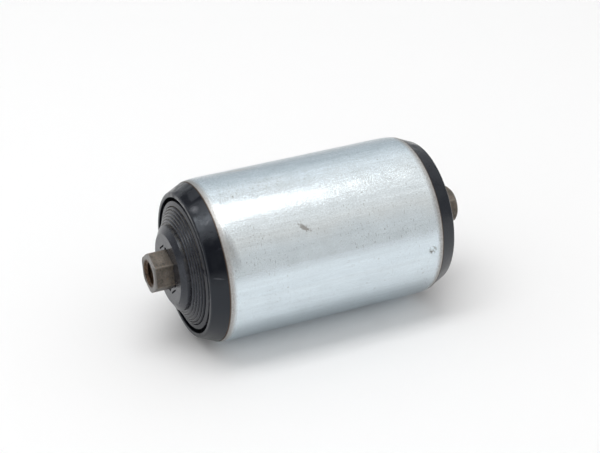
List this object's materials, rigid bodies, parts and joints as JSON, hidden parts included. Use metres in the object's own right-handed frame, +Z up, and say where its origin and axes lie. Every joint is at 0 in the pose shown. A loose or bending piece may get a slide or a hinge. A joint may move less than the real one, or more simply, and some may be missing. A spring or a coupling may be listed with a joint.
{
  "type": "conveyor roller",
  "caption": "Gravity conveyor roller: steel tube on sealed ball bearings about a fixed hexagon shaft tapped at both ends.",
  "frame": {"origin": "middle of the roller, on the shaft's axis", "axes": "+X along the shaft's axis, +Z up; both ends are alike"},
  "size_m": [0.102, 0.05, 0.05],
  "materials": {
    "zinc_plated_steel": "blue zinc plate with drawn streaks along the tube",
    "bare_steel": "cold drawn bar with light rust",
    "black_polyamide": "moulded, semi-gloss",
    "grey_polypropylene": "moulded, satin",
    "bearing_steel": "ground",
    "cage_polyamide": "moulded",
    "seal_rubber": "moulded",
    "spring_steel": "phosphated"
  },
  "bodies": {
    "shaft": {"shaft": "bare_steel", "left_hex_bush": "grey_polypropylene", "left_bearing_inner_ring": "bearing_steel", "left_seal_cover": "grey_polypropylene", "left_retaining_ring": "spring_steel", "right_hex_bush": "grey_polypropylene", "right_bearing_inner_ring": "bearing_steel", "right_seal_cover": "grey_polypropylene", "right_retaining_ring": "spring_steel"},
    "roller": {"tube": "zinc_plated_steel", "left_bearing_housing": "black_polyamide", "left_bearing_outer_ring": "bearing_steel", "left_bearing_outer_shield": "bearing_steel", "left_bearing_inner_shield": "bearing_steel", "left_lip_seal": "seal_rubber", "right_bearing_housing": "black_polyamide", "right_bearing_outer_ring": "bearing_steel", "right_bearing_outer_shield": "bearing_steel", "right_bearing_inner_shield": "bearing_steel", "right_lip_seal": "seal_rubber"},
    "left_ball_set": {"left_bearing_balls": "bearing_steel", "left_bearing_cage": "cage_polyamide"},
    "right_ball_set": {"right_bearing_balls": "bearing_steel", "right_bearing_cage": "cage_polyamide"}
  },
  "joints": [
    {"name": "roller_spin", "type": "hinge", "parent": "shaft", "child": "roller", "pos_m": [0, 0, 0], "axis": [1, 0, 0], "continuous": true},
    {"name": "left_ball_set_spin", "type": "hinge", "parent": "shaft", "child": "left_ball_set", "pos_m": [-0.0295, 0, 0], "axis": [1, 0, 0], "continuous": true},
    {"name": "right_ball_set_spin", "type": "hinge", "parent": "shaft", "child": "right_ball_set", "pos_m": [0.0295, 0, 0], "axis": [1, 0, 0], "continuous": true}
  ],
  "couplings": [
    {"joint": "left_ball_set_spin", "follows": "roller_spin", "ratio": 0.6013},
    {"joint": "right_ball_set_spin", "follows": "roller_spin", "ratio": 0.6013}
  ]
}
